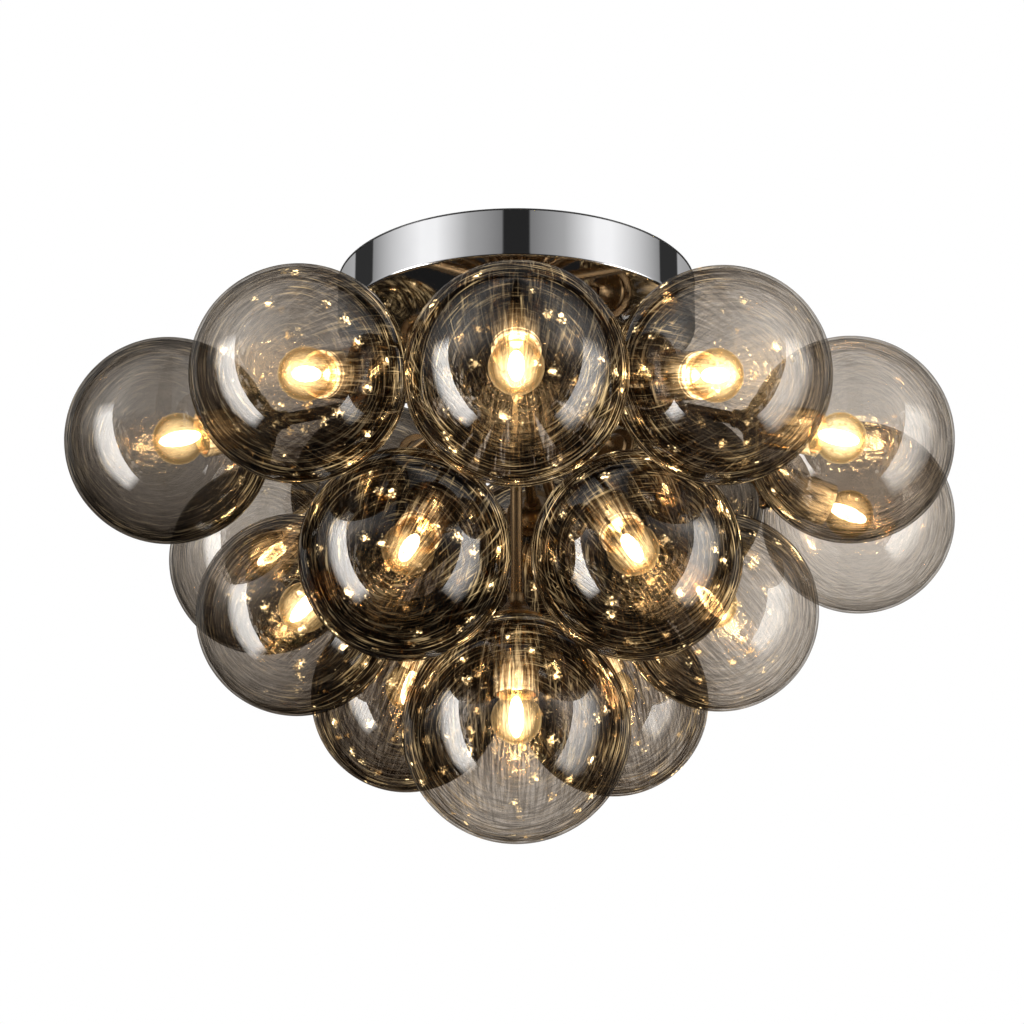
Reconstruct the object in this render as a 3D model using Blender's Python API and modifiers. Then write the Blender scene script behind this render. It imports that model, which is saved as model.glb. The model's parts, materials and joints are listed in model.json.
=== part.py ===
"""Bubble chandelier: a chrome ceiling canopy over a cluster of smoked glass globes.

Metres, +Z up. The origin is on the ceiling, at the centre of the canopy, so the whole light hangs
below z = 0. The front of the light faces -Y. Every lamp is made of an arm with its holder, a bulb
and a globe, and all arms are seated in one hub under the canopy.
"""

import bmesh
import bpy
from math import asin, cos, pi, radians, sin, sqrt
from mathutils import Matrix, Vector

# Driving dimensions of the whole light
globe_diameter = 0.160
bottom_globe_diameter = 0.180
globe_gap = 0.0035
canopy_diameter = 0.294
canopy_height = 0.040
fit_gap = 0.0003

# Places of the lamps: azimuth in degrees from the front, then the distance from the axis and the
# drop below the ceiling as shares of the pitch of the cluster
lamp_pitch = globe_diameter + globe_gap
lamp_place_shares = (
    ("upper_front", 0, 1.90, 1.28),
    ("upper_front_left", -32, 1.82, 1.13),
    ("upper_front_right", 31, 1.78, 1.13),
    ("upper_left", -68, 1.77, 1.10),
    ("upper_right", 66, 1.72, 1.11),
    ("upper_rear_left", -119, 1.48, 1.21),
    ("upper_rear_right", 106, 1.81, 1.06),
    ("upper_back_left", -151, 1.50, 0.63),
    ("upper_back_right", 137, 1.18, 0.83),
    ("upper_back", 176, 1.82, 0.81),
    ("middle_front_left", -29, 1.05, 1.76),
    ("middle_front_right", 35, 0.97, 1.72),
    ("middle_left", -86, 1.06, 1.77),
    ("middle_right", 97, 1.00, 1.69),
    ("middle_back_left", -148, 1.06, 1.89),
    ("middle_back_right", 153, 1.10, 1.89),
    ("bottom", 0, 0.00, 2.32),
)

# Glass globe
glass_wall = 0.002
globe_sides = 15
globe_rings = 7

# Bulb: a golf-ball envelope on a short neck with a screw cap
bulb_diameter = 0.040
bulb_cap_diameter = 0.026
bulb_length = 0.058
bulb_offset = 0.008
bulb_sides = 10
bulb_rings = 4

# Arm, gallery and holder sleeve
tube_diameter = 0.010
sleeve_wall = 0.005
sleeve_cover = 0.004
collar_step = 0.003
collar_height = 0.007
flange_overlap = 0.0018
flange_thickness = 0.003
socket_cone_length = 0.014
arm_sides = 10
front_holder_tilt = 58
elbow_straight = 0.008
elbow_diameter = 0.016
elbow_rings = 6

# Hub
hub_diameter = 0.062
hub_boss_diameter = 0.026
hub_boss_rise = 0.002
seat_depth = 0.006
hub_sides = 18
hub_rings = 8

# Stem with its nuts
stem_diameter = 0.010
stem_engagement = 0.007
stem_show = 0.002
canopy_nut_diameter = 0.030
canopy_nut_height = 0.006
canopy_nut_chamfer = 0.0015
lock_nut_across_corners = 0.019
lock_nut_height = 0.005
lock_nut_sides = 6
round_sides = 20

# Canopy
canopy_wall = 0.0012
canopy_edge_radius = 0.002
canopy_edge_steps = 2
canopy_sides = 40

# Ceiling bracket and what is fixed to it
bracket_length = 0.200
bracket_width = 0.030
bracket_thickness = 0.003
bracket_corner_radius = 0.006
bracket_slot_length = 0.030
bracket_slot_width = 0.0055
bracket_slot_inset = 0.012
bracket_slot_sides = 10
boss_diameter = 0.020
boss_height = 0.010
terminal_length = 0.036
terminal_width = 0.018
terminal_height = 0.015
terminal_place = 0.032
terminal_bevel = 0.001
terminal_hole_diameter = 0.004
terminal_hole_depth = 0.006
terminal_hole_sides = 6
terminal_ways = 3
screw_place = -0.032
screw_head_diameter = 0.009
screw_head_height = 0.003
screw_shank_diameter = 0.004
screw_slot_width = 0.0012
screw_slot_depth = 0.0012
screw_sides = 12

# Cutting tools run past what they cut by this much, and edges sharper than this stay crisp
overrun = 0.001
crease_angle = radians(40)

# Values that follow from the sizes above
bulb_radius = bulb_diameter / 2
bulb_cap_radius = bulb_cap_diameter / 2
tube_radius = tube_diameter / 2
sleeve_radius = bulb_cap_radius + sleeve_wall
collar_radius = sleeve_radius + collar_step
hub_radius = hub_diameter / 2
stem_radius = stem_diameter / 2
canopy_radius = canopy_diameter / 2
bracket_bottom = -bracket_thickness
boss_bottom = bracket_bottom - boss_height
nut_top = -canopy_height - fit_gap
nut_bottom = nut_top - canopy_nut_height
hub_point = Vector((0, 0, nut_bottom - stem_show - hub_boss_rise - hub_radius))
mouth_radius = (collar_radius + fit_gap) / cos(pi / globe_sides)
flange_radius = mouth_radius + flange_overlap

# A clean scene, one collection for the light and one for the cutting tools
for old_object in list(bpy.data.objects):
    bpy.data.objects.remove(old_object, do_unlink=True)
light_collection = bpy.data.collections.new("bubble_chandelier")
tool_collection = bpy.data.collections.new("cutting_tools")
bpy.context.scene.collection.children.link(light_collection)
bpy.context.scene.collection.children.link(tool_collection)


def make_material(name, colour, metallic, roughness, transmission=0.0):
    material = bpy.data.materials.new(name)
    material.use_nodes = True
    shader = material.node_tree.nodes["Principled BSDF"]
    shader.inputs["Base Color"].default_value = (*colour, 1.0)
    shader.inputs["Metallic"].default_value = metallic
    shader.inputs["Roughness"].default_value = roughness
    shader.inputs["Transmission Weight"].default_value = transmission
    return material


chrome = make_material("polished_chrome", (0.80, 0.80, 0.81), 1.0, 0.06)
brass = make_material("polished_brass", (0.72, 0.52, 0.26), 1.0, 0.18)
smoked_glass = make_material("smoked_glass", (0.30, 0.28, 0.26), 0.0, 0.02, 0.85)
clear_glass = make_material("clear_bulb_glass", (1.0, 0.86, 0.60), 0.0, 0.05, 0.6)
zinc_steel = make_material("zinc_plated_steel", (0.62, 0.63, 0.65), 1.0, 0.35)
white_plastic = make_material("terminal_plastic", (0.85, 0.85, 0.82), 0.0, 0.45)


def mesh_from(shape, name):
    mesh = bpy.data.meshes.new(name)
    shape.to_mesh(mesh)
    shape.free()
    return mesh


def add_object(name, mesh, material):
    """Put a mesh in the light as the piece of that name."""
    piece = bpy.data.objects.new(name, mesh)
    light_collection.objects.link(piece)
    mesh.materials.append(material)
    return piece


def settle(piece):
    """Give a piece the mesh that its modifiers make, shaded smooth with crisp edges."""
    graph = bpy.context.evaluated_depsgraph_get()
    mesh = bpy.data.meshes.new_from_object(piece.evaluated_get(graph))
    outline = piece.data
    piece.modifiers.clear()
    piece.data = mesh
    bpy.data.meshes.remove(outline)
    mesh.name = piece.name
    mesh.shade_smooth()
    mesh.set_sharp_from_angle(angle=crease_angle)


def add_turned(name, profile, sides, material, is_ring=False):
    """Turn a profile of (radius, height) points round local Z into a closed piece.

    The profile starts and ends on the axis, or it is a ring that closes on itself.
    """
    shape = bmesh.new()
    corners = [shape.verts.new((radius, 0, height)) for radius, height in profile]
    for start, end in zip(corners, corners[1:]):
        shape.edges.new((start, end))
    if is_ring:
        shape.edges.new((corners[-1], corners[0]))
    piece = add_object(name, mesh_from(shape, name), material)
    screw = piece.modifiers.new("turn", "SCREW")
    screw.axis = "Z"
    screw.steps = sides
    screw.render_steps = sides
    screw.use_merge_vertices = True
    screw.merge_threshold = 0.00001
    settle(piece)
    return piece


def add_cylinder(shape, radius, start, end, sides):
    """Add a closed cylinder between two points to a bmesh."""
    along = end - start
    place = Matrix.Translation((start + end) / 2) @ along.to_track_quat("Z", "Y").to_matrix().to_4x4()
    bmesh.ops.create_cone(
        shape, cap_ends=True, segments=sides, radius1=radius, radius2=radius,
        depth=along.length, matrix=place,
    )


def add_box(shape, size, centre):
    """Add a box to a bmesh and give back its corners."""
    scale = Matrix.Diagonal((*size, 1))
    return bmesh.ops.create_cube(shape, size=1, matrix=Matrix.Translation(centre) @ scale)["verts"]


def make_tool(name, shape):
    """Turn a bmesh into a hidden cutting tool."""
    tool = bpy.data.objects.new(name, mesh_from(shape, name))
    tool_collection.objects.link(tool)
    tool.hide_render = True
    tool.display_type = "WIRE"
    return tool


def combine(piece, tool, operation):
    boolean = piece.modifiers.new(operation.lower(), "BOOLEAN")
    boolean.operation = operation
    boolean.object = tool
    boolean.solver = "EXACT"


def arc_points(radius, start_angle, end_angle, steps):
    """Points of an arc about the local origin, with angles measured from the +Z axis."""
    points = []
    for step in range(steps + 1):
        angle = start_angle + (end_angle - start_angle) * step / steps
        points.append((radius * sin(angle), radius * cos(angle)))
    points[-1] = (0.0, radius * cos(end_angle)) if end_angle == pi else points[-1]
    return points


# Lamps: each has its own frame, with the origin in the centre of the globe and +Z towards the arm


def globe_profile(radius):
    """A shell from the inner pole up to the mouth, over the ground lip and down the outside."""
    inner_radius = radius - glass_wall
    outer = arc_points(radius, asin(mouth_radius / radius), pi, globe_rings)
    inner = arc_points(inner_radius, asin(mouth_radius / inner_radius), pi, globe_rings)
    return inner[::-1] + outer


def bulb_profile():
    """Cap end, straight cap, neck and the round envelope, in the frame of the globe."""
    cap_end = bulb_offset - bulb_radius + bulb_length
    neck_angle = asin(bulb_cap_radius / bulb_radius)
    envelope = arc_points(bulb_radius, neck_angle, pi, bulb_rings)
    envelope = [(radius, height + bulb_offset) for radius, height in envelope]
    return [(0.0, cap_end), (bulb_cap_radius, cap_end)] + envelope


def gallery_height(globe_radius):
    """Height of the flange's seat over the centre of the globe."""
    return sqrt(globe_radius**2 - mouth_radius**2) + fit_gap


def holder_profile(globe_radius, tail_height):
    """Tube, cone, flange, threaded collar and the sleeve with its bore for the bulb's cap."""
    flange_seat = gallery_height(globe_radius)
    flange_back = flange_seat + flange_thickness
    neck_angle = asin(bulb_cap_radius / bulb_radius)
    sleeve_front = bulb_offset + bulb_radius * cos(neck_angle) + sleeve_cover
    bore_radius = (bulb_cap_radius + fit_gap) / cos(pi / arm_sides)
    bore_floor = bulb_offset - bulb_radius + bulb_length + fit_gap
    return [
        (0.0, tail_height),
        (tube_radius, tail_height),
        (tube_radius, flange_back + socket_cone_length),
        (sleeve_radius, flange_back),
        (flange_radius, flange_back),
        (flange_radius, flange_seat),
        (collar_radius, flange_seat),
        (collar_radius, flange_seat - collar_height),
        (sleeve_radius, flange_seat - collar_height),
        (sleeve_radius, sleeve_front),
        (bore_radius, sleeve_front),
        (bore_radius, bore_floor),
        (0.0, bore_floor),
    ]


def place_along(piece, centre, direction):
    """Move a piece to a point with its local +Z along a direction."""
    piece.location = centre
    piece.rotation_mode = "QUATERNION"
    piece.rotation_quaternion = direction.to_track_quat("Z", "Y")


def make_straight_arm(name, globe_radius, reach):
    """An arm that runs straight from its holder into its seat in the hub."""
    tail_height = reach - hub_radius + seat_depth - fit_gap
    return add_turned(name, holder_profile(globe_radius, tail_height), arm_sides, brass)


def make_bent_arm(name, globe_radius, centre, direction):
    """The front arm: its holder is bent down at an elbow, and a straight tube runs to the hub."""
    elbow_reach = gallery_height(globe_radius) + flange_thickness + socket_cone_length + elbow_straight
    arm = add_turned(name, holder_profile(globe_radius, elbow_reach), arm_sides, brass)
    place_along(arm, centre, direction)
    elbow = centre + direction * elbow_reach
    run = (hub_point - elbow).normalized()
    shape = bmesh.new()
    bmesh.ops.create_uvsphere(
        shape, u_segments=arm_sides, v_segments=elbow_rings, radius=elbow_diameter / 2,
        matrix=Matrix.Translation(elbow),
    )
    combine(arm, make_tool("elbow_ball", shape), "UNION")
    shape = bmesh.new()
    seat_floor = hub_point - run * (hub_radius - seat_depth + fit_gap)
    add_cylinder(shape, tube_radius, elbow, seat_floor, arm_sides)
    combine(arm, make_tool("elbow_tube", shape), "UNION")
    return run


def make_lamp(name, azimuth, distance_share, drop_share):
    """Make one lamp, and give back the direction in which its tube runs into the hub."""
    turn = radians(azimuth)
    distance = distance_share * lamp_pitch
    centre = Vector((distance * sin(turn), -distance * cos(turn), -drop_share * lamp_pitch))
    is_bottom = name == "bottom"
    globe_radius = (bottom_globe_diameter if is_bottom else globe_diameter) / 2
    to_hub = hub_point - centre
    direction = to_hub.normalized()
    run = direction
    if name == "upper_front":
        tilt = radians(front_holder_tilt)
        direction = Vector((0, cos(tilt), sin(tilt)))
        run = make_bent_arm("arm_" + name, globe_radius, centre, direction)
    else:
        place_along(make_straight_arm("arm_" + name, globe_radius, to_hub.length), centre, direction)
    globe = add_turned("globe_" + name, globe_profile(globe_radius), globe_sides, smoked_glass)
    place_along(globe, centre, direction)
    bulb = add_turned("bulb_" + name, bulb_profile(), bulb_sides, clear_glass)
    place_along(bulb, centre, direction)
    return run


tube_runs = [make_lamp(*place) for place in lamp_place_shares]


# Hub: a ball with a flat boss on top, bored for every arm and for the stem


def make_hub():
    boss_radius = hub_boss_diameter / 2
    boss_top = hub_radius + hub_boss_rise
    boss_angle = asin(boss_radius / hub_radius)
    profile = [(0.0, boss_top), (boss_radius, boss_top)]
    profile += arc_points(hub_radius, boss_angle, pi, hub_rings)
    hub = add_turned("hub", profile, hub_sides, brass)
    hub.location = hub_point
    hole_radius = (tube_radius + fit_gap) / cos(pi / arm_sides)
    shape = bmesh.new()
    for run in tube_runs:
        floor = hub_point - run * (hub_radius - seat_depth)
        add_cylinder(shape, hole_radius, floor, hub_point - run * (hub_radius + overrun), arm_sides)
    stem_hole_radius = (stem_radius + fit_gap) / cos(pi / round_sides)
    stem_floor = hub_point + Vector((0, 0, boss_top - stem_engagement))
    stem_mouth = hub_point + Vector((0, 0, boss_top + overrun))
    add_cylinder(shape, stem_hole_radius, stem_floor, stem_mouth, round_sides)
    combine(hub, make_tool("hub_bores", shape), "DIFFERENCE")
    return stem_floor.z


stem_bottom = make_hub() + fit_gap


# Canopy: a turned cup that stands against the ceiling, with a hole for the stem


def make_canopy():
    inner_radius = canopy_radius - canopy_wall
    edge_radius = canopy_edge_radius
    hole_radius = (stem_radius + fit_gap) / cos(pi / canopy_sides)
    outer_edge = [
        (
            canopy_radius - edge_radius + edge_radius * cos(turn * pi / 2 / canopy_edge_steps),
            -canopy_height + edge_radius - edge_radius * sin(turn * pi / 2 / canopy_edge_steps),
        )
        for turn in range(canopy_edge_steps + 1)
    ]
    profile = [
        (hole_radius, -canopy_height),
        (hole_radius, -canopy_height + canopy_wall),
        (inner_radius, -canopy_height + canopy_wall),
        (inner_radius, 0.0),
        (canopy_radius, 0.0),
    ]
    add_turned("canopy", profile + outer_edge, canopy_sides, chrome, is_ring=True)


make_canopy()


# Stem with the canopy nut and the lock nut


def nut_profile(outer_radius, hole_radius, top, bottom, chamfer):
    return [
        (hole_radius, bottom),
        (hole_radius, top),
        (outer_radius, top),
        (outer_radius, bottom + chamfer),
        (outer_radius - chamfer, bottom),
    ]


def make_stem():
    stem_top = boss_bottom + stem_engagement - fit_gap
    profile = [(0.0, stem_top), (stem_radius, stem_top), (stem_radius, stem_bottom), (0.0, stem_bottom)]
    add_turned("hub_stem", profile, round_sides, zinc_steel)
    nut_hole_radius = (stem_radius + fit_gap) / cos(pi / round_sides)
    profile = nut_profile(
        canopy_nut_diameter / 2, nut_hole_radius, nut_top, nut_bottom, canopy_nut_chamfer
    )
    add_turned("canopy_nut", profile, round_sides, chrome, is_ring=True)
    lock_nut_top = boss_bottom - fit_gap
    shape = bmesh.new()
    add_cylinder(
        shape, lock_nut_across_corners / 2, Vector((0, 0, lock_nut_top - lock_nut_height)),
        Vector((0, 0, lock_nut_top)), lock_nut_sides,
    )
    nut = add_object("stem_lock_nut", mesh_from(shape, "stem_lock_nut"), zinc_steel)
    shape = bmesh.new()
    add_cylinder(
        shape, nut_hole_radius, Vector((0, 0, lock_nut_top - lock_nut_height - overrun)),
        Vector((0, 0, lock_nut_top + overrun)), round_sides,
    )
    combine(nut, make_tool("lock_nut_hole", shape), "DIFFERENCE")


make_stem()


# Ceiling bracket: a strap with rounded ends, a slot at each end and a boss for the stem


def add_upright_slot(shape, middle):
    """Add a cutter with round ends: an upright cylinder whose two halves are drawn apart."""
    radius = bracket_slot_width / 2
    add_cylinder(
        shape, radius, Vector((0, 0, bracket_bottom - overrun)), Vector((0, 0, overrun)),
        bracket_slot_sides,
    )
    half_straight = bracket_slot_length / 2 - radius
    for corner in shape.verts:
        corner.co.x += middle + (half_straight if corner.co.x > 0 else -half_straight)


def make_bracket():
    shape = bmesh.new()
    add_box(shape, (bracket_length, bracket_width, bracket_thickness), (0, 0, bracket_bottom / 2))
    upright = [
        edge for edge in shape.edges
        if abs(edge.verts[0].co.z - edge.verts[1].co.z) > bracket_thickness / 2
    ]
    bmesh.ops.bevel(
        shape, geom=upright, offset=bracket_corner_radius, segments=2, profile=0.5,
        affect="EDGES", material=-1,
    )
    bracket = add_object("ceiling_bracket", mesh_from(shape, "ceiling_bracket"), zinc_steel)
    shape = bmesh.new()
    boss_root = Vector((0, 0, bracket_bottom + bracket_thickness / 2))
    add_cylinder(shape, boss_diameter / 2, Vector((0, 0, boss_bottom)), boss_root, round_sides)
    combine(bracket, make_tool("bracket_boss", shape), "UNION")
    shape = bmesh.new()
    hole_radius = (stem_radius + fit_gap) / cos(pi / round_sides)
    hole_mouth = Vector((0, 0, boss_bottom - overrun))
    add_cylinder(shape, hole_radius, hole_mouth, Vector((0, 0, boss_bottom + stem_engagement)), round_sides)
    combine(bracket, make_tool("bracket_stem_hole", shape), "DIFFERENCE")
    slot_shift = bracket_length / 2 - bracket_slot_inset - bracket_slot_length / 2
    for side in (-1, 1):
        shape = bmesh.new()
        add_upright_slot(shape, side * slot_shift)
        combine(bracket, make_tool("bracket_slot", shape), "DIFFERENCE")
    shape = bmesh.new()
    add_cylinder(
        shape, (screw_shank_diameter / 2 + fit_gap) / cos(pi / screw_sides),
        Vector((screw_place, 0, bracket_bottom - overrun)), Vector((screw_place, 0, overrun)), screw_sides,
    )
    combine(bracket, make_tool("earth_screw_hole", shape), "DIFFERENCE")


make_bracket()


# Terminal block and earth screw under the strap


def make_terminal_block():
    top = bracket_bottom - fit_gap
    centre = Vector((terminal_place, 0, top - terminal_height / 2))
    shape = bmesh.new()
    add_box(shape, (terminal_width, terminal_length, terminal_height), centre)
    bmesh.ops.bevel(
        shape, geom=shape.edges[:], offset=terminal_bevel, segments=1, profile=0.5,
        affect="EDGES", material=-1,
    )
    block = add_object("terminal_block", mesh_from(shape, "terminal_block"), white_plastic)
    shape = bmesh.new()
    spacing = terminal_length / terminal_ways
    for way in range(terminal_ways):
        place_y = (way - (terminal_ways - 1) / 2) * spacing
        for side in (-1, 1):
            wall_x = terminal_place + side * terminal_width / 2
            mouth = Vector((wall_x + side * overrun, place_y, centre.z))
            floor = Vector((wall_x - side * terminal_hole_depth, place_y, centre.z))
            add_cylinder(shape, terminal_hole_diameter / 2, mouth, floor, terminal_hole_sides)
    combine(block, make_tool("terminal_holes", shape), "DIFFERENCE")


def make_earth_screw():
    head_top = bracket_bottom - fit_gap
    head_bottom = head_top - screw_head_height
    head_radius = screw_head_diameter / 2
    shank_radius = screw_shank_diameter / 2
    profile = [
        (0.0, -fit_gap),
        (shank_radius, -fit_gap),
        (shank_radius, head_top),
        (head_radius, head_top),
        (head_radius, head_bottom),
        (0.0, head_bottom),
    ]
    screw = add_turned("earth_screw", profile, screw_sides, brass)
    screw.location.x = screw_place
    shape = bmesh.new()
    slot_size = (screw_head_diameter + 2 * overrun, screw_slot_width, screw_slot_depth + overrun)
    add_box(shape, slot_size, (screw_place, 0, head_bottom + (screw_slot_depth - overrun) / 2))
    combine(screw, make_tool("screw_slot", shape), "DIFFERENCE")


make_terminal_block()
make_earth_screw()
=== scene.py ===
"""Looks of the bubble chandelier: smoked glass globes on brass arms under a chrome canopy."""

import json
from math import asin, cos, pi, radians, sin, sqrt

import bmesh
import bpy
from mathutils import Matrix, Vector, noise


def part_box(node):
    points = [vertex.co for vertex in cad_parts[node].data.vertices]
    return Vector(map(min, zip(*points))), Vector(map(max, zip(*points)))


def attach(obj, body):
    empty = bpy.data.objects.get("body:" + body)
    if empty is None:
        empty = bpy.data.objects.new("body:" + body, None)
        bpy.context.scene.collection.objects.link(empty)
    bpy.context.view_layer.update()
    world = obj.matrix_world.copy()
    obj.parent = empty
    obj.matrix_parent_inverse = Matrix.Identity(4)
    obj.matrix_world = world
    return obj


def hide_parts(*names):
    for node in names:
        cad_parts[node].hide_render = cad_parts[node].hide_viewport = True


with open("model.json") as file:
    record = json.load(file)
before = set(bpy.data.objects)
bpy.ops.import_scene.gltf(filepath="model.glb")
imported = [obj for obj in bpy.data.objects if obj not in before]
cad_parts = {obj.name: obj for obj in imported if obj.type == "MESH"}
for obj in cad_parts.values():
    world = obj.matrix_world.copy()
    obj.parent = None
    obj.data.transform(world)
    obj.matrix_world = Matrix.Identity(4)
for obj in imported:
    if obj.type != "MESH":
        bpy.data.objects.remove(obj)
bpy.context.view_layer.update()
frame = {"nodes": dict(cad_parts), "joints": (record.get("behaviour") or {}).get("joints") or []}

# ---------------------------------------------------------------------------------------------
# The studio: a white backdrop all round, a pale floor below, a tall soft lamp on each side and a
# long lens that looks up at the light from below. Glass needs many see-through steps to stay clear.

camera_place = (0, -2.24, -1.0266)
camera_tilt = 20.288
camera_lens = 104.4
lamp_height = 1.96
lamp_distance = 1.3
lamp_level = -0.57
lamp_target = Vector((0, 0, -0.3))
fill_level = 0.45
floor_radius = 3.2
floor_level = -1.9

scene = bpy.context.scene
scene.view_settings.view_transform = "Standard"
scene.cycles.transparent_max_bounces = 64
scene.cycles.max_bounces = 16
scene.cycles.glossy_bounces = 8
scene.cycles.sample_clamp_indirect = 80

camera_data = bpy.data.cameras.new("studio_camera")
camera_data.sensor_width = 36
camera_data.lens = camera_lens
camera_data.shift_x = -0.0042
camera = bpy.data.objects.new("studio_camera", camera_data)
camera.location = camera_place
camera.rotation_euler = (radians(90 + camera_tilt), 0, 0)
scene.collection.objects.link(camera)
scene.camera = camera


class Link:
    """An output in a node tree. Python sums on it add Math nodes to that tree."""

    def __init__(self, tree, socket=None):
        self.tree = tree
        self.socket = socket

    def node(self, kind, settings=None, values=None, output=0):
        """Add a node: its settings are set first, then its sockets are given values or links."""
        made = self.tree.nodes.new(kind)
        for name, value in (settings or {}).items():
            if name == "stops":
                stops = made.color_ramp.elements
                stops[0].position, stops[1].position = value[0][0], value[-1][0]
                for position, _ in value[1:-1]:
                    stops.new(position)
                for stop, (_, shade) in zip(stops, value):
                    stop.color = (shade, shade, shade, 1)
            else:
                setattr(made, name, value)
        for name, value in (values or {}).items():
            socket = made.inputs[name]
            if isinstance(value, Link):
                self.tree.links.new(value.socket, socket)
            elif isinstance(value, tuple) and socket.type == "RGBA":
                socket.default_value = (*value, 1)
            else:
                socket.default_value = value
        return None if output is None else Link(self.tree, made.outputs[output])

    def other(self, name):
        """Another output of the node that this one comes from."""
        return Link(self.tree, self.socket.node.outputs[name])

    def maths(self, operation, first, second=None):
        values = {0: first} if second is None else {0: first, 1: second}
        return self.node("ShaderNodeMath", {"operation": operation}, values)

    def __add__(self, other):
        return self.maths("ADD", self, other)

    def __radd__(self, other):
        return self.maths("ADD", other, self)

    def __sub__(self, other):
        return self.maths("SUBTRACT", self, other)

    def __rsub__(self, other):
        return self.maths("SUBTRACT", other, self)

    def __mul__(self, other):
        return self.maths("MULTIPLY", self, other)

    def __rmul__(self, other):
        return self.maths("MULTIPLY", other, self)

    def __truediv__(self, other):
        return self.maths("DIVIDE", self, other)

    def __pow__(self, other):
        return self.maths("POWER", self, other)

    def mix(self, factor, first, second):
        """Blend two colours."""
        return self.node(
            "ShaderNodeMix", {"data_type": "RGBA"}, {0: factor, 6: first, 7: second}, output=2
        )


def soft_lamp(turn, width, energy, across):
    """A tall soft lamp. Its light fades towards its ends, and across it as the stops say."""
    lamp_data = bpy.data.lights.new("side_lamp", "AREA")
    lamp_data.shape = "RECTANGLE"
    lamp_data.size = width
    lamp_data.size_y = lamp_height
    lamp_data.energy = energy
    lamp_data.use_nodes = True
    lamp_data.node_tree.nodes.clear()
    tree = Link(lamp_data.node_tree)
    place = tree.node("ShaderNodeNewGeometry", output="Parametric")
    u = tree.node("ShaderNodeSeparateXYZ", values={0: place})
    sideways = tree.node("ShaderNodeValToRGB", {"stops": across}, {0: u})
    ends = [(0.0, 0.0), (0.14, 0.9), (0.5, 1.0), (0.84, 0.9), (1.0, 0.0)]
    upright = tree.node("ShaderNodeValToRGB", {"stops": ends}, {0: u.other("Y")})
    light = tree.node(
        "ShaderNodeEmission", values={"Strength": sideways * upright, "Color": (1, 1, 1)}
    )
    tree.node("ShaderNodeOutputLight", values={"Surface": light}, output=None)
    lamp = bpy.data.objects.new("side_lamp", lamp_data)
    lamp.location = (lamp_distance * sin(turn), -lamp_distance * cos(turn), lamp_level)
    lamp.rotation_mode = "QUATERNION"
    lamp.rotation_quaternion = (lamp_target - lamp.location).to_track_quat("-Z", "Y")
    lamp.visible_camera = False
    scene.collection.objects.link(lamp)


soft_lamp(radians(-68), 0.56, 27, [(0.0, 0.0), (0.35, 0.75), (0.9, 1.0), (1.0, 0.95)])
soft_lamp(radians(73), 0.86, 21, [(0.0, 0.95), (0.1, 1.0), (0.5, 0.8), (1.0, 0.0)])

world = bpy.data.worlds.new("white_studio")
scene.world = world
world.use_nodes = True
world.node_tree.nodes.clear()
sky = Link(world.node_tree)
direction = sky.node("ShaderNodeTexCoord", output="Generated")
east = sky.node("ShaderNodeSeparateXYZ", values={0: direction})
north, up = east.other("Y"), east.other("Z")
flat_length = (east * east + north * north + 0.0001) ** 0.5
azimuth = sky.maths("ARCCOSINE", -1 * north / flat_length) / pi

# What metal and glass mirror: soft panels round the room with dark slots between them.
studio_ring = sky.node(
    "ShaderNodeValToRGB",
    {
        "stops": [
            (0.0, 0.02), (0.045, 0.02), (0.050, 0.20), (0.17, 0.40), (0.29, 0.98), (0.35, 1.0),
            (0.46, 0.66), (0.58, 0.26), (0.585, 0.03), (0.70, 0.03), (0.71, 0.42), (0.90, 0.30),
        ]
    },
    {0: azimuth},
)
studio_height = sky.node(
    "ShaderNodeValToRGB",
    {
        "stops": [
            (0.0, 0.02), (0.40, 0.04), (0.52, 0.25), (0.62, 1.0), (0.78, 1.0), (0.92, 0.6),
            (1.0, 0.5),
        ]
    },
    {0: up * 0.5 + 0.5},
)
ray = sky.node("ShaderNodeLightPath", output="Is Camera Ray")
seen = sky.maths("MAXIMUM", ray, ray.other("Is Transmission Ray"))
mirrored = ray.other("Is Glossy Ray")
ring_level = studio_ring * studio_height
level = seen + (1 - seen) * (mirrored * ring_level + (1 - mirrored) * fill_level)
backdrop = sky.node("ShaderNodeBackground", values={"Strength": level, "Color": (1, 1, 1)})
sky.node("ShaderNodeOutputWorld", values={"Surface": backdrop}, output=None)


def new_finish(name):
    """Start a material, and give it back with a link to its empty node tree."""
    material = bpy.data.materials.new(name)
    material.use_nodes = True
    material.node_tree.nodes.clear()
    return material, Link(material.node_tree)


def close_finish(material, surface):
    surface.node("ShaderNodeOutputMaterial", values={"Surface": surface}, output=None)
    return material


def pale_floor_finish():
    """A matt pale floor that turns white far away. From below and in mirrors it isn't seen."""
    material, tree = new_finish("pale_floor")
    place = tree.node("ShaderNodeTexCoord", output="Object")
    distance = tree.node(
        "ShaderNodeVectorMath", {"operation": "LENGTH"}, {0: place}, output="Value"
    )
    far = tree.node("ShaderNodeMapRange", values={0: distance, 1: 2.0, 2: 3.6, 3: 0.72, 4: 1.0})
    light = tree.node("ShaderNodeLightPath", output="Is Camera Ray")
    shown = tree.maths("MAXIMUM", light, light.other("Is Transmission Ray"))
    matt = tree.node(
        "ShaderNodeBsdfPrincipled", values={"Base Color": (0.8, 0.8, 0.8), "Roughness": 0.7}
    )
    white = tree.node("ShaderNodeEmission", values={"Color": (1, 1, 1), "Strength": 1.0})
    top = tree.node("ShaderNodeMixShader", values={0: shown * far, 1: matt, 2: white})
    clear = tree.node("ShaderNodeBsdfTransparent")
    below = tree.node("ShaderNodeNewGeometry", output="Backfacing")
    unseen = tree.maths("MAXIMUM", below, light.other("Is Glossy Ray"))
    surface = tree.node("ShaderNodeMixShader", values={0: unseen, 1: top, 2: clear})
    return close_finish(material, surface)


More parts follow.
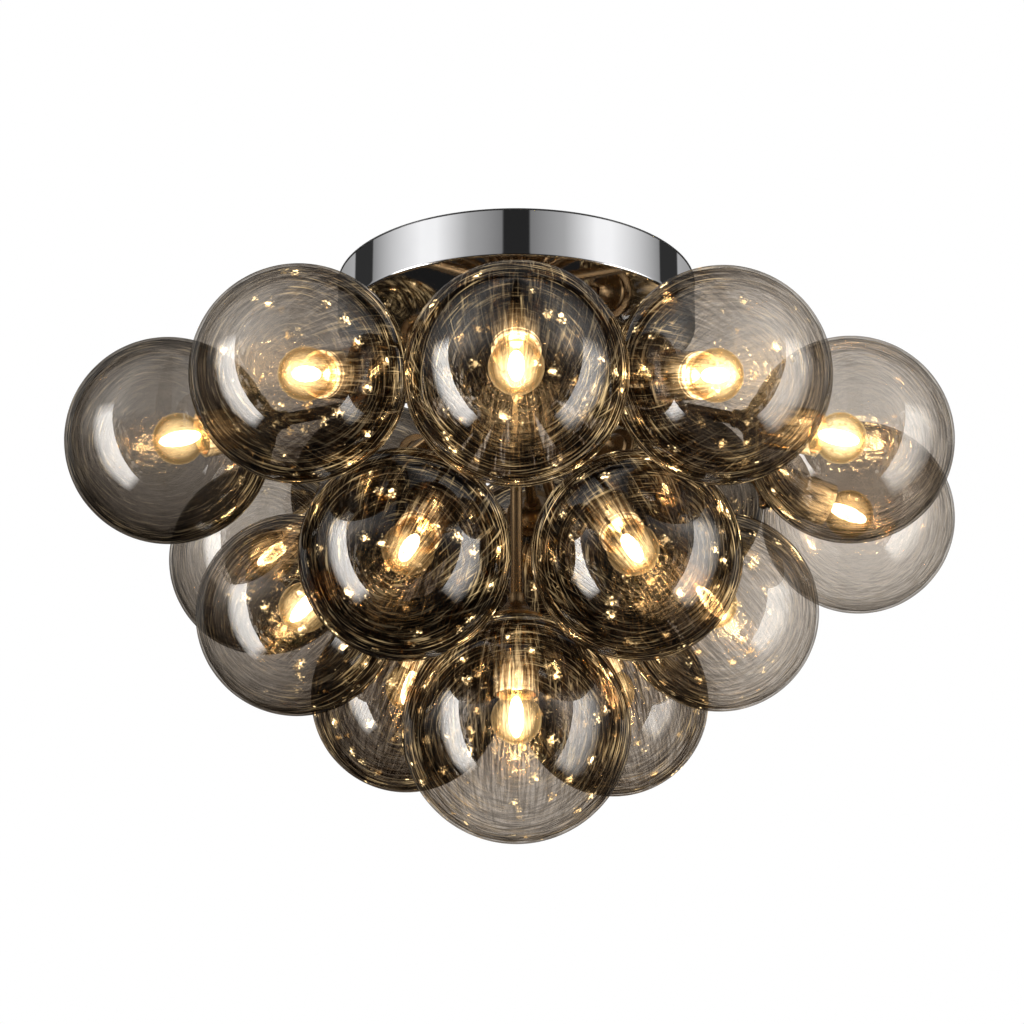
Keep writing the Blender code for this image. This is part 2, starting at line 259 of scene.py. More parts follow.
def piece_from(shape, name, finish, place=None):
    """Turn a bmesh into a piece with its place in its mesh, shaded smooth with crisp edges."""
    mesh = bpy.data.meshes.new(name)
    shape.to_mesh(mesh)
    own_place = mesh.attributes.new("own_place", "FLOAT_VECTOR", "POINT")
    corners = [0.0] * (3 * len(mesh.vertices))
    mesh.vertices.foreach_get("co", corners)
    own_place.data.foreach_set("vector", corners)
    if place is not None:
        mesh.transform(place)
    mesh.shade_smooth()
    mesh.set_sharp_from_angle(angle=radians(35))
    mesh.materials.append(finish)
    piece = bpy.data.objects.new(name, mesh)
    scene.collection.objects.link(piece)
    return piece


shape = bmesh.new()
bmesh.ops.create_circle(
    shape, cap_ends=True, segments=64, radius=floor_radius,
    matrix=Matrix.Translation((0, 0, floor_level)),
)
floor = piece_from(shape, "studio_floor", pale_floor_finish())

# ---------------------------------------------------------------------------------------------
# Canopy: a spun steel cup, polished and chrome plated, that hides the bracket and the wiring. It
# is held up by the nut on the stem, and its rim is sealed against the ceiling by a dark gasket.

canopy_radius = 0.147
canopy_height = 0.040
canopy_wall = 0.0012
canopy_hole_radius = 0.0055
rim_margin = 0.0010
bottom_margin = 0.0030
round_steps = 4
canopy_steps = 160
gasket_inside = canopy_radius - 0.0003
gasket_outside = canopy_radius + 0.0005
gasket_bottom = -0.0011
gasket_top = -0.0001


def own_vector(tree, scale):
    """The piece's own coordinates from before it was put in its place, stretched by a scale."""
    own = tree.node("ShaderNodeAttribute", {"attribute_name": "own_place"}, output="Vector")
    return tree.node("ShaderNodeMapping", values={"Vector": own, "Scale": scale})


def metal_finish(name, colour, dull_colour, roughness, ring_scale, ring_depth):
    """Polished metal with faint turning rings, a cloudy polish and a duller shade in places."""
    material, tree = new_finish(name)
    rings = tree.node(
        "ShaderNodeTexNoise",
        values={"Vector": own_vector(tree, (8, 8, ring_scale)), "Scale": 1.0, "Detail": 3.0},
    )
    clouds = tree.node(
        "ShaderNodeTexNoise",
        values={"Vector": own_vector(tree, (1, 1, 1)), "Scale": 38.0, "Detail": 4.0},
    )
    bump = tree.node(
        "ShaderNodeBump", values={"Height": rings, "Strength": ring_depth, "Distance": 0.0004}
    )
    surface = tree.node(
        "ShaderNodeBsdfPrincipled",
        values={
            "Base Color": tree.mix(clouds, colour, dull_colour),
            "Metallic": 1.0,
            "Roughness": roughness * 0.6 + clouds * (roughness * 0.8),
            "Normal": bump,
        },
    )
    return close_finish(material, surface)


def turned(profile, steps):
    """Spin a profile of (radius, height) points round local Z into a closed shape.

    A profile that starts off the axis is a ring, and closes on itself.
    """
    shape = bmesh.new()
    corners = [shape.verts.new((radius, 0, height)) for radius, height in profile]
    edges = [shape.edges.new(pair) for pair in zip(corners, corners[1:])]
    if profile[0][0] > 0:
        edges.append(shape.edges.new((corners[-1], corners[0])))
    bmesh.ops.spin(
        shape, geom=corners + edges, axis=(0, 0, 1), cent=(0, 0, 0), angle=2 * pi, steps=steps,
        use_merge=True,
    )
    bmesh.ops.remove_doubles(shape, verts=shape.verts, dist=0.000001)
    bmesh.ops.recalc_face_normals(shape, faces=shape.faces)
    return shape


def rounded(profile, rounds):
    """Round some corners of a profile: rounds gives the corner's index its radius."""
    points = []
    for index, (radius, height) in enumerate(profile):
        corner = Vector((radius, height))
        if index not in rounds:
            points.append((radius, height))
            continue
        before = (Vector(profile[index - 1]) - corner).normalized() * rounds[index]
        after = (Vector(profile[(index + 1) % len(profile)]) - corner).normalized() * rounds[index]
        for step in range(round_steps + 1):
            share = step / round_steps
            bend = corner + before * (1 - share) ** 2 + after * share**2
            points.append((bend.x, bend.y))
    return points


def fixed(piece, slot, *nodes):
    """A piece that stays with the fixture, and the CAD nodes that it stands for."""
    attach(piece, "fixture")
    if nodes:
        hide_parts(*nodes)


chrome = metal_finish(
    "polished_chrome", (0.93, 0.93, 0.94), (0.87, 0.87, 0.885), 0.035, 500, 0.02
)

# The points a margin away from the corners keep the shading of the flat faces flat.
canopy_profile = rounded(
    [
        (canopy_hole_radius, -canopy_height),
        (canopy_hole_radius, -canopy_height + canopy_wall),
        (canopy_radius - canopy_wall, -canopy_height + canopy_wall),
        (canopy_radius - canopy_wall, 0.0),
        (canopy_radius, 0.0),
        (canopy_radius, -rim_margin),
        (canopy_radius, -canopy_height + bottom_margin),
        (canopy_radius, -canopy_height),
        (canopy_radius - bottom_margin, -canopy_height),
    ],
    {2: 0.0012, 4: 0.0005, 7: 0.0014},
)
canopy = piece_from(turned(canopy_profile, canopy_steps), "chrome_canopy", chrome)
fixed(canopy, "chrome", "canopy")


def moulded_finish(name, colour, shade):
    """Moulded plastic or rubber: a fine grain, and a shade that clouds a little."""
    material, tree = new_finish(name)
    place = tree.node("ShaderNodeTexCoord", output="Object")
    grain = tree.node("ShaderNodeTexNoise", values={"Vector": place, "Scale": 900.0, "Detail": 2.0})
    clouds = tree.node("ShaderNodeTexNoise", values={"Vector": place, "Scale": 60.0, "Detail": 3.0})
    bump = tree.node(
        "ShaderNodeBump", values={"Height": grain, "Strength": 0.15, "Distance": 0.0001}
    )
    surface = tree.node(
        "ShaderNodeBsdfPrincipled",
        values={
            "Base Color": tree.mix(clouds, colour, shade),
            "Roughness": clouds * 0.15 + 0.38,
            "Normal": bump,
        },
    )
    return close_finish(material, surface)


gasket_profile = [
    (gasket_inside, gasket_bottom), (gasket_inside, gasket_top),
    (gasket_outside, gasket_top), (gasket_outside, gasket_bottom),
]
rubber = moulded_finish("dark_rubber", (0.03, 0.03, 0.03), (0.05, 0.05, 0.05))
gasket = piece_from(turned(gasket_profile, canopy_steps), "rim_gasket", rubber)
fixed(gasket, "chrome")

# ---------------------------------------------------------------------------------------------
# Ceiling bracket: a strap of zinc plated steel with a slot at each end for the ceiling screws and
# a tapped boss in the middle. The stem is screwed into the boss and locked with a thin nut.

zinc = metal_finish("zinc_plated_steel", (0.60, 0.62, 0.66), (0.50, 0.51, 0.52), 0.38, 90, 0.10)


def refinished(node_name, finish):
    """A CAD node whose shape is right stays, with a better finish."""
    node = frame["nodes"][node_name]
    own_place = node.data.attributes.new("own_place", "FLOAT_VECTOR", "POINT")
    corners = [0.0] * (3 * len(node.data.vertices))
    node.data.vertices.foreach_get("co", corners)
    own_place.data.foreach_set("vector", corners)
    node.data.materials.clear()
    node.data.materials.append(finish)


refinished("ceiling_bracket", zinc)
refinished("stem_lock_nut", zinc)

# ---------------------------------------------------------------------------------------------
# Stem and its chrome nut: a threaded steel rod that carries the hub. The nut below the canopy
# pulls it up against the ceiling.

stem_radius = 0.005
thread_pitch = 0.0010
thread_depth = 0.0005
nut_radius = 0.015
nut_hole_radius = 0.0052


def threaded(radius, bottom, top, pitch, depth):
    """Profile points of a screw thread as a row of small ridges."""
    points = []
    for turn in range(int((top - bottom) / pitch)):
        height = bottom + turn * pitch
        points += [(radius - depth, height), (radius, height + pitch / 2)]
    return points


stem_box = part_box("hub_stem")
stem_profile = [(0, stem_box[0].z)]
stem_profile += threaded(stem_radius, stem_box[0].z, stem_box[1].z, thread_pitch, thread_depth)
stem_profile += [(stem_radius - thread_depth, stem_box[1].z), (0, stem_box[1].z)]
fixed(piece_from(turned(stem_profile, 32), "threaded_stem", zinc), "zinc_steel", "hub_stem")

nut_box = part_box("canopy_nut")
nut_profile = rounded(
    [
        (nut_hole_radius, nut_box[0].z),
        (nut_hole_radius, nut_box[1].z),
        (nut_radius, nut_box[1].z),
        (nut_radius, nut_box[0].z),
    ],
    {2: 0.0006, 3: 0.0016},
)
fixed(piece_from(turned(nut_profile, 64), "chrome_nut", chrome), "chrome", "canopy_nut")

# ---------------------------------------------------------------------------------------------
# Terminal block and earth screw: a moulded white block for the supply wires, and a slotted brass
# screw in the strap for the earth wire.

polished_brass = metal_finish(
    "polished_brass", (0.93, 0.66, 0.30), (0.80, 0.53, 0.22), 0.13, 900, 0.05
)
white_plastic = moulded_finish("terminal_plastic", (0.84, 0.84, 0.80), (0.76, 0.76, 0.72))
refinished("terminal_block", white_plastic)
refinished("earth_screw", polished_brass)

# ---------------------------------------------------------------------------------------------
# Hub: a turned brass ball with a flat boss, bored with a seat for each arm. A thin brass ring
# covers each seat.

hub_radius = 0.031
hub_boss_radius = 0.013
hub_centre = Vector((0, 0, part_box("hub")[0].z + hub_radius))
hub_boss_top = hub_radius + 0.002


def arc(radius, start, end, steps, centre_height=0.0):
    """Points of an arc, with angles measured from the +Z axis."""
    points = []
    for step in range(steps + 1):
        angle = start + (end - start) * step / steps
        points.append((radius * sin(angle), radius * cos(angle) + centre_height))
    if end == pi:
        points[-1] = (0.0, centre_height - radius)
    return points


dark_brass = metal_finish(
    "bronzed_brass", (0.34, 0.22, 0.11), (0.19, 0.12, 0.06), 0.26, 400, 0.08
)
boss_angle = asin(hub_boss_radius / hub_radius)
hub_profile = rounded(
    [
        (0.0, hub_boss_top),
        (hub_boss_radius, hub_boss_top),
        (hub_boss_radius, hub_radius * cos(boss_angle)),
    ],
    {1: 0.0006},
)
hub_profile += arc(hub_radius, boss_angle, pi, 32)[1:]
hub = piece_from(turned(hub_profile, 72), "hub_ball", dark_brass, Matrix.Translation(hub_centre))
fixed(hub, "brass", "hub")

# ---------------------------------------------------------------------------------------------
# Arms: brass tubes, each screwed into the hub and ending in a gallery that the globe hangs on and
# a polished sleeve over the lamp holder. Every lamp's frame has its origin in the globe's centre
# and +Z towards the arm.

tube_radius = 0.005
tube_in_hub = 0.004
tube_in_gallery = 0.006
sleeve_radius = 0.018
sleeve_inside = 0.0065
groove_depth = 0.0006
socket_radius = tube_radius + 0.0022
cone_length = 0.020
collar_radius = 0.021
collar_bore_radius = sleeve_radius - 0.001
collar_length = 0.007
collar_floor = 0.009
collar_thread_pitch = 0.0013
collar_thread_depth = 0.0005
flange_radius = 0.0236
flange_thickness = 0.003
mouth_radius = 0.0214
mouth_seat_radius = 0.02178
globe_radius = 0.080
bottom_globe_radius = 0.090
bulb_radius = 0.020
bulb_height = 0.008
cap_radius = 0.013
holder_radius = cap_radius + 0.0022
holder_depth = 0.0195
elbow_ball_radius = 0.008
elbow_reach_beyond = 0.025
seat_ring_inside = 0.0052
seat_ring_outside = 0.0070
sleeve_front = bulb_height + bulb_radius * cos(asin(cap_radius / bulb_radius)) + 0.004


def lamp_frames():
    """Each lamp's place, globe radius, centre and the direction from the globe to its arm."""
    for joint in frame["joints"]:
        place = joint["child"].removeprefix("globe_")
        radius = bottom_globe_radius if place == "bottom" else globe_radius
        yield place, radius, Vector(joint["pos_m"]), -Vector(joint["axis"]).normalized()


def at(centre, direction):
    """The matrix that puts a lamp's frame in its place."""
    return Matrix.Translation(centre) @ direction.to_track_quat("Z", "Y").to_matrix().to_4x4()


def flange_seat(radius):
    """Height of the gallery's flange, where a globe's mouth stands on it."""
    return sqrt(radius**2 - mouth_seat_radius**2) + 0.0003


def gallery(seat):
    """Cone, flange and threaded collar: the darker part that carries the globe."""
    back = seat + flange_thickness
    end = seat - collar_length
    outline = rounded(
        [
            (0.0, back + cone_length),
            (socket_radius, back + cone_length),
            (socket_radius, back + 0.014),
            (sleeve_radius * 0.62, back + 0.008),
            (sleeve_radius * 0.95, back + 0.003),
            (sleeve_radius, back),
            (flange_radius, back),
            (flange_radius, seat),
            (collar_radius, seat),
        ],
        {1: 0.0008, 3: 0.002, 4: 0.001, 6: 0.0006, 7: 0.0006},
    )
    outline += threaded(
        collar_radius, end, seat - 0.0006, collar_thread_pitch, collar_thread_depth
    )[::-1]
    outline += [(collar_radius - collar_thread_depth, end), (collar_bore_radius, end)]
    return outline + [(collar_bore_radius, seat - collar_floor), (0.0, seat - collar_floor)]


def sleeve(seat):
    """The polished sleeve over the lamp holder, with a groove near its mouth."""
    return rounded(
        [
            (0.0, seat - sleeve_inside),
            (sleeve_radius, seat - sleeve_inside),
            (sleeve_radius, sleeve_front + 0.0045),
            (sleeve_radius - groove_depth, sleeve_front + 0.0040),
            (sleeve_radius - groove_depth, sleeve_front + 0.0032),
            (sleeve_radius, sleeve_front + 0.0027),
            (sleeve_radius, sleeve_front),
            (holder_radius, sleeve_front),
            (holder_radius, sleeve_front + holder_depth),
            (0.0, sleeve_front + holder_depth),
        ],
        {6: 0.0008, 7: 0.0008},
    )


def brass_painted_glow_finish():
    """Polished brass with a painted glow and highlight, as if the bulb beside it shone on it, most
    of all at the sleeve's mouth.
    """
    material, tree = new_finish("brass_with_painted_glow")
    own = own_vector(tree, (1, 1, 1))
    height = tree.node("ShaderNodeSeparateXYZ", values={0: own}, output="Z")
    facing = tree.node("ShaderNodeLayerWeight", values={"Blend": 0.5}, output="Facing")
    strokes = tree.node(
        "ShaderNodeTexNoise",
        values={
            "Vector": own_vector(tree, (260, 260, 60)), "Scale": 1.0, "Detail": 3.0,
            "Distortion": 0.6,
        },
    )
    from_mouth = tree.node(
        "ShaderNodeMapRange",
        values={0: height, 1: sleeve_front, 2: sleeve_front + 0.036, 3: 1.0, 4: 0.0},
    )
    # Painted glow: light of its own, strongest at the sleeve's mouth, and a painted highlight where
    # the brass faces the viewer.
    painted_glow = from_mouth**1.5 * (1 - facing) ** 2 * (strokes * 3.4 - 0.9)
    rings = tree.node(
        "ShaderNodeTexNoise",
        values={"Vector": own_vector(tree, (8, 8, 900)), "Scale": 1.0, "Detail": 3.0},
    )
    bump = tree.node(
        "ShaderNodeBump", values={"Height": rings, "Strength": 0.05, "Distance": 0.0004}
    )
    surface = tree.node(
        "ShaderNodeBsdfPrincipled",
        values={
            "Base Color": tree.mix(strokes, (0.95, 0.74, 0.42), (0.70, 0.48, 0.22)),
            "Metallic": 1.0,
            "Roughness": strokes * 0.10 + 0.08,
            "Emission Color": tree.mix(painted_glow, (0, 0, 0), (1.0, 0.74, 0.40)),
            "Emission Strength": 7.0,
            "Normal": bump,
        },
    )
    return close_finish(material, surface)


brass_with_painted_glow = brass_painted_glow_finish()
galleries, sleeves = {}, {}
for radius in (globe_radius, bottom_globe_radius):
    galleries[radius] = turned(gallery(flange_seat(radius)), 64)
    sleeves[radius] = turned(sleeve(flange_seat(radius)), 64)
seat_ring_profile = rounded(
    [
        (seat_ring_inside, -0.0012),
        (seat_ring_inside, 0.0016),
        (seat_ring_outside, 0.0016),
        (seat_ring_outside, -0.0012),
    ],
    {1: 0.0004, 2: 0.0007},
)
seat_ring = turned(seat_ring_profile, 36)

for place, radius, centre, direction in lamp_frames():
    put = at(centre, direction)
    bend = centre + direction * (flange_seat(radius) + elbow_reach_beyond)
    holder = piece_from(galleries[radius], "gallery_" + place, dark_brass, put)
    fixed(holder, "brass", "arm_" + place)
    fixed(piece_from(sleeves[radius], "sleeve_" + place, brass_with_painted_glow, put), "brass")
    if place == "upper_front":
        shape = bmesh.new()
        bmesh.ops.create_uvsphere(shape, u_segments=40, v_segments=20, radius=elbow_ball_radius)
        fixed(piece_from(shape, "elbow", dark_brass, at(bend, direction)), "brass")
    run = (hub_centre - bend).normalized()
    length = (hub_centre - bend).length - hub_radius + tube_in_hub
    tube = turned(
        [
            (0.0, -tube_in_gallery), (tube_radius, -tube_in_gallery), (tube_radius, length),
            (0.0, length),
        ],
        40,
    )
    fixed(piece_from(tube, "tube_" + place, dark_brass, at(bend, run)), "brass")
    seat = at(hub_centre - run * hub_radius, -run)
    ring = piece_from(seat_ring, "seat_ring_" + place, dark_brass, seat)
    fixed(ring, "brass")

# ---------------------------------------------------------------------------------------------
# Bulbs: clear golf-ball bulbs with a glowing capsule inside and a screw cap, screwed into the
# holder in the sleeve. They are lit, as in the photograph.

bulb_wall = 0.0008
bulb_neck_end = 0.031
cap_front = 0.0300
cap_contact = 0.0458
cap_thread_pitch = 0.0024
cap_thread_depth = 0.0009
capsule_radius = 0.0058
capsule_height = 0.0095
capsule_stretch = 2.9
haze_sizes = ((0.0092, 1.8), (0.0165, 1.1))


def bulb_glass_finish():
    """Clear glass with a darker edge and a bright rippled rim that glows with painted light."""
    material, tree = new_finish("clear_bulb_glass")
    facing = tree.node("ShaderNodeLayerWeight", values={"Blend": 0.5}, output="Facing")
    ripples = tree.node(
        "ShaderNodeTexNoise",
        values={"Vector": own_vector(tree, (1, 1, 1)), "Scale": 160.0, "Detail": 2.0},
    )
    bump = tree.node(
        "ShaderNodeBump", values={"Height": ripples, "Strength": 0.5, "Distance": 0.001}
    )
    pale = tree.node("ShaderNodeBsdfTransparent", values={"Color": (0.97, 0.92, 0.82)})
    edge = tree.node("ShaderNodeBsdfTransparent", values={"Color": (0.42, 0.31, 0.16)})
    body = tree.node("ShaderNodeMixShader", values={0: facing**3, 1: pale, 2: edge})
    # The gloss gives light of its own: a painted gold glow at the rim, where shine mixes it in.
    gloss = tree.node(
        "ShaderNodeBsdfPrincipled",
        values={
            "Base Color": (1.0, 0.90, 0.70), "Metallic": 1.0, "Roughness": 0.04, "Normal": bump,
            "Emission Color": (1.0, 0.78, 0.42), "Emission Strength": 2.6,
        },
    )
    shine = facing**12 * (ripples * 1.6 - 0.1) + 0.05
    surface = tree.node("ShaderNodeMixShader", values={0: shine, 1: body, 2: gloss})
    return close_finish(material, surface)


def glow_finish(name, hot, warm, strength, share):
    """Hot glass that gives light. Below a share of 1 it is see-through, and thinner at its edge."""
    material, tree = new_finish(name)
    speckle = tree.node(
        "ShaderNodeTexNoise",
        values={
            "Vector": own_vector(tree, (1, 1, 0.6)), "Scale": 260.0, "Detail": 3.0,
            "Distortion": 1.0,
        },
    )
    values = {
        "Base Color": (0, 0, 0),
        "Emission Color": tree.mix(speckle, hot, warm),
        "Emission Strength": strength,
        "Specular IOR Level": 0.0,
        "Roughness": 1.0,
    }
    if share < 1:
        facing = tree.node("ShaderNodeLayerWeight", values={"Blend": 0.5}, output="Facing")
        values["Alpha"] = (1 - facing) ** 2.6 * (speckle * 3.4 - 1.05) * share
    return close_finish(material, tree.node("ShaderNodeBsdfPrincipled", values=values))


bulb_glass = bulb_glass_finish()
hot_capsule = glow_finish("glowing_capsule", (1.0, 0.87, 0.60), (1.0, 0.79, 0.46), 110.0, 1)
warm_haze = glow_finish("warm_haze", (1.0, 0.90, 0.66), (0.98, 0.75, 0.42), 5.5, 0.75)
cap_metal = metal_finish("nickel_cap", (0.70, 0.62, 0.48), (0.50, 0.43, 0.32), 0.22, 60, 0.05)

neck = asin(cap_radius / bulb_radius)
envelope = turned(
    (
        [(cap_radius - bulb_wall, bulb_neck_end)]
        + arc(bulb_radius - bulb_wall, neck, pi, 28, bulb_height)
    )[::-1]
    + [(cap_radius, bulb_neck_end)]
    + arc(bulb_radius, neck, pi, 28, bulb_height),
    56,
)
capsule = bmesh.new()
bmesh.ops.create_uvsphere(
    capsule, u_segments=24, v_segments=20, radius=capsule_radius,
    matrix=Matrix.Translation((0, 0, capsule_height)) @ Matrix.Diagonal((1, 1, capsule_stretch, 1)),
)
haze = bmesh.new()
for size, stretch in haze_sizes:
    bmesh.ops.create_uvsphere(
        haze, u_segments=28, v_segments=18, radius=size,
        matrix=Matrix.Translation((0, 0, bulb_height)) @ Matrix.Diagonal((1, 1, stretch, 1)),
    )
cap_points = [(0.0, cap_contact), (0.004, cap_contact), (cap_radius * 0.8, 0.0435)]
cap_points += threaded(cap_radius, 0.0315, 0.0425, cap_thread_pitch, cap_thread_depth)[::-1]
cap = turned(cap_points + [(cap_radius, cap_front), (0.0, cap_front)], 40)

for place, radius, centre, direction in lamp_frames():
    put = at(centre, direction)
    glass = piece_from(envelope, "bulb_glass_" + place, bulb_glass, put)
    fixed(glass, "bulb_glass", "bulb_" + place)
    fixed(piece_from(capsule, "glow_capsule_" + place, hot_capsule, put), "bulb_glass")
    fixed(piece_from(haze, "glow_haze_" + place, warm_haze, put), "bulb_glass")
    fixed(piece_from(cap, "bulb_cap_" + place, cap_metal, put), "bulb_glass")

# ---------------------------------------------------------------------------------------------
# Globes: blown smoked glass, 2 mm thick, with a round mouth that is screwed over the gallery.
# They differ in how dark they are, partly as blown glass does and partly as painted shade, which
# makes the back and left-hand globes darkest. The inner wall waves a little.

glass_wall = 0.002
wall_steps = 76
wave_inside = 0.00050
wave_outside = 0.00005
core_height = -0.25
core_reach = 0.24
core_blend = 0.13
# Painted shade: how much darker the glass is made towards each globe's bottom.
painted_shade_below = 0.17
# Painted shade: how much darker the glass is made near the cluster's core.
painted_shade_near_core = 0.13
ring_axis = Vector((0, -0.94, -0.34))
ring_wobble = 0.10
ring_shift = 40
ring_shift_inside = 0.4
drawn_shift = 9
drawn_shift_inside = 2
# Smoke of each globe, with painted shade: the back and left-hand globes are made darker.
smoke_and_shade_shares = {
    "upper_front": 0.01, "upper_front_left": 0.13, "upper_front_right": 0.02, "upper_left": 0.29,
    "upper_right": 0.06, "upper_rear_left": 0.14, "upper_rear_right": 0.02,
    "upper_back_left": 0.38, "upper_back_right": 0.34, "upper_back": 0.40,
    "middle_front_left": 0.20, "middle_front_right": 0.06, "middle_left": 0.13,
    "middle_right": 0.0, "middle_back_left": 0.16, "middle_back_right": 0.01, "bottom": 0.03,
}


def smoked_glass_finish():
    """See-through smoky glass, grey far from the hub, and browner and darker near it, which is
    painted shade and painted reflection of the cluster's core. The blowing left cords in it: rings
    round each globe, and lines drawn out of its mouth that are strong near the hub. Some are dark;
    the pale ones have a rough gold gloss and a painted glow of their own, and so do small painted
    glints near the hub.
    """
    material, tree = new_finish("smoked_glass")
    facing = tree.node("ShaderNodeLayerWeight", values={"Blend": 0.5}, output="Facing")

    def noted(name, output="Fac"):
        return tree.node("ShaderNodeAttribute", {"attribute_name": name}, output=output)

    smoke, inside, near, lined = noted("smoke"), noted("inside"), noted("near_hub"), noted("lined")
    ring_place, drawn_place = noted("ring_place", "Vector"), noted("drawn_place", "Vector")

    def drawn_out(pattern_place, scale, detail, distortion):
        stretched = tree.node("ShaderNodeMapping", values={"Vector": pattern_place, "Scale": scale})
        return tree.node(
            "ShaderNodeTexNoise",
            values={"Vector": stretched, "Scale": 1.0, "Detail": detail, "Distortion": distortion},
        )

    def ramp(value, start, end):
        return tree.node("ShaderNodeMapRange", values={0: value, 1: start, 2: end, 3: 0.0, 4: 1.0})

    rings = drawn_out(ring_place, (2.4, 2.4, 38), 2.5, 0.7)
    drawn = drawn_out(drawn_place, (24, 24, 2.0), 3.0, 1.3)
    ring_reach = facing**1.3 * (near * 0.8 + 0.55)
    drawn_reach = lined * (facing * 0.5 + 0.5)
    # Dark cords, strongest near the hub, where they are also painted reflection of the cluster's
    # core.
    dark = ramp(rings, 0.50, 0.42) * ring_reach + ramp(drawn, 0.52, 0.43) * drawn_reach
    pale_rings = ramp(rings, 0.57, 0.69) * (ring_reach + 0.02)
    pale = pale_rings + ramp(drawn, 0.59, 0.76) * drawn_reach * 0.7
    own = own_vector(tree, (1, 1, 1))
    # Painted glints: small spots near the hub that give light of their own, standing for
    # reflections of the bulbs.
    glint_spots = tree.node(
        "ShaderNodeTexVoronoi", values={"Vector": own, "Scale": 44.0}, output="Distance"
    )
    glint_edge_noise = tree.node("ShaderNodeTexNoise", values={"Vector": own, "Scale": 330.0, "Detail": 2.0})
    glow_patch_noise = tree.node("ShaderNodeTexNoise", values={"Vector": own, "Scale": 30.0, "Detail": 1.0})
    broken = glint_spots + (0.5 - glint_edge_noise) * 0.7
    glint = ramp(broken, 0.25, 0.02) ** 3 * (1 - inside * 0.5) * ramp(near, 0.05, 0.4)
    # Painted glow: the glints, and soft clouds of it near the hub.
    painted_glow = tree.maths("MAXIMUM", glint, ramp(glow_patch_noise, 0.50, 0.68) * ramp(near, 0.0, 0.5) * 0.35)
    bump = tree.node(
        "ShaderNodeBump",
        values={
            "Height": drawn_out(ring_place, (5, 5, 14), 1.0, 0.0), "Strength": inside * 0.45,
            "Distance": 0.0022,
        },
    )
    thin = tree.node("ShaderNodeBsdfTransparent", values={"Color": (0.905, 0.88, 0.85)})
    grey = tree.node("ShaderNodeBsdfTransparent", values={"Color": (0.14, 0.115, 0.088)})
    brown = tree.node("ShaderNodeBsdfTransparent", values={"Color": (0.15, 0.095, 0.046)})
    # Near the hub the glass turns brown: painted shade and painted reflection of the cluster's
    # core.
    thick = tree.node("ShaderNodeMixShader", values={0: near, 1: grey, 2: brown})
    # The smoke noted on the mesh brings painted shade with it: darker towards the bottom and near
    # the cluster's core.
    depth = smoke + facing**3 * (smoke * 0.75 + 0.11) + facing**12 * 0.6 + dark * 1.08 - 0.02
    body = tree.node("ShaderNodeMixShader", values={0: depth, 1: thin, 2: thick})
    gloss = tree.node(
        "ShaderNodeBsdfPrincipled",
        values={
            "Base Color": (0.97, 0.95, 0.92), "Metallic": 1.0, "Roughness": 0.012, "Normal": bump,
        },
    )
    shine = 0.085 - inside * 0.040 + facing**4 * (0.05 + pale * 0.9)
    clear = tree.node("ShaderNodeMixShader", values={0: shine, 1: body, 2: gloss})
    # A rough gold gloss with a painted glow of its own, mixed in at the pale cords and the painted
    # glints.
    warm = tree.node(
        "ShaderNodeBsdfPrincipled",
        values={
            "Base Color": (1.0, 0.77, 0.45), "Metallic": 1.0, "Roughness": 0.24,
            "Emission Color": tree.mix(painted_glow, (0.050, 0.037, 0.021), (1.0, 0.71, 0.34)),
            "Emission Strength": 5.5,
        },
    )
    gold_gloss_and_painted_glow = tree.maths("MAXIMUM", pale * 0.75, glint)
    surface = tree.node("ShaderNodeMixShader", values={0: gold_gloss_and_painted_glow, 1: clear, 2: warm})
    return close_finish(material, surface)


def held(value):
    """A value held between 0 and 1."""
    return max(0.0, min(1.0, value))


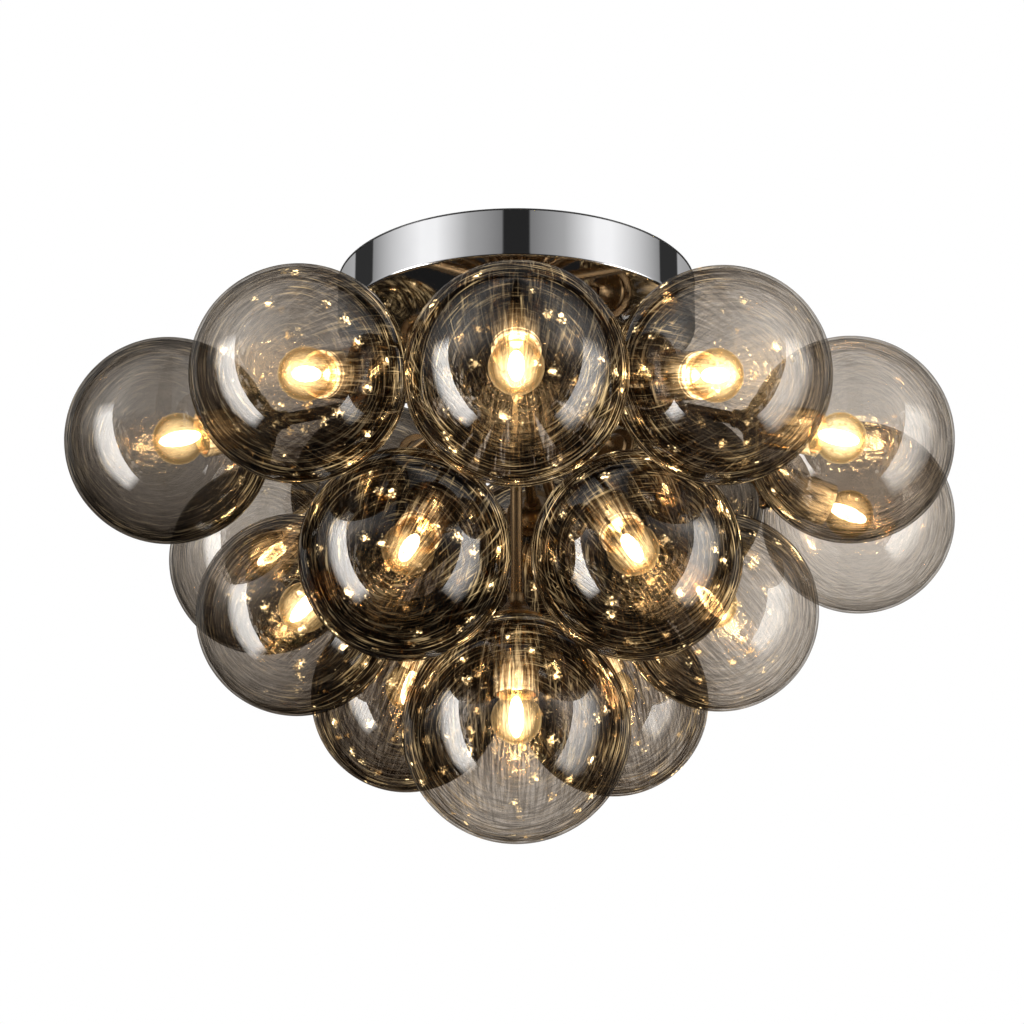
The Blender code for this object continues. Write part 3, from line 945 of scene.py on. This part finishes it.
def blow(mesh, put, radius, place):
    """Wave a globe's walls as blown glass does, and note for the finish how smoky it is, with
    painted shade added towards its bottom and near the cluster's core, which wall is which, how
    near the cluster's core a place is, and its places along the blown rings and the drawn lines.
    The shifts give each globe and each wall a pattern of its own.
    """
    share = smoke_and_shade_shares[place]
    smoke_and_shade_levels, insides, nears, lines, ring_places, drawn_places = [], [], [], [], [], []
    centre = put.translation
    to_own = put.to_3x3().inverted()
    upright = Vector((0, 0, 1))
    to_rings = ring_axis.rotation_difference(upright)
    for corner in mesh.vertices:
        out = (corner.co - centre).normalized()
        inner = (corner.co - centre).length < radius - glass_wall / 2
        off_core = sqrt(corner.co.x**2 + (corner.co.z - core_height) ** 2)
        near = held((core_reach - off_core) / core_blend)
        below = held(0.3 - out.z) * (place != "bottom")
        # Smoke with painted shade: darker towards the bottom and near the cluster's core.
        smoke_and_shade_levels.append(share + min(share, painted_shade_below) * below + near * painted_shade_near_core)
        insides.append(float(inner))
        nears.append(near)
        along = to_rings @ out
        round_axis = along.xy.normalized()
        from_axis = along.angle(upright) + ring_wobble * noise.noise(corner.co * 14)
        ring = Vector((round_axis.x, round_axis.y, from_axis)) + centre * ring_shift
        ring_places.extend(ring + upright * (ring_shift_inside * inner))
        own = to_own @ out
        round_mouth = own.xy.normalized() if own.xy.length > 1e-6 else Vector((0, 0))
        from_mouth = own.angle(upright) + drawn_shift * centre.x + drawn_shift_inside * inner
        drawn_places.extend((round_mouth.x, round_mouth.y, from_mouth))
        lines.append(near**1.5 * held((own.z + 0.93) / 0.45))
        wave = noise.noise(corner.co * 62) + 0.4 * noise.noise(corner.co * 150)
        corner.co += out * wave * (wave_inside if inner else wave_outside)
    numbers = {"smoke": smoke_and_shade_levels, "inside": insides, "near_hub": nears, "lined": lines}
    for name, notes in numbers.items():
        mesh.attributes.new(name, "FLOAT", "POINT").data.foreach_set("value", notes)
    for name, notes in (("ring_place", ring_places), ("drawn_place", drawn_places)):
        mesh.attributes.new(name, "FLOAT_VECTOR", "POINT").data.foreach_set("vector", notes)


smoked_glass = smoked_glass_finish()
globes = {}
for radius in (globe_radius, bottom_globe_radius):
    inner_radius = radius - glass_wall
    inner_wall = arc(inner_radius, asin(mouth_radius / inner_radius), pi, wall_steps)
    outer_wall = arc(radius, asin(mouth_radius / radius), pi, wall_steps)
    globes[radius] = turned(inner_wall[::-1] + outer_wall, 120)

for place, radius, centre, direction in lamp_frames():
    put = at(centre, direction)
    globe = piece_from(globes[radius], "glass_globe_" + place, smoked_glass, put)
    blow(globe.data, put, radius, place)
    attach(globe, "globe_" + place)
    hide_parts("globe_" + place)
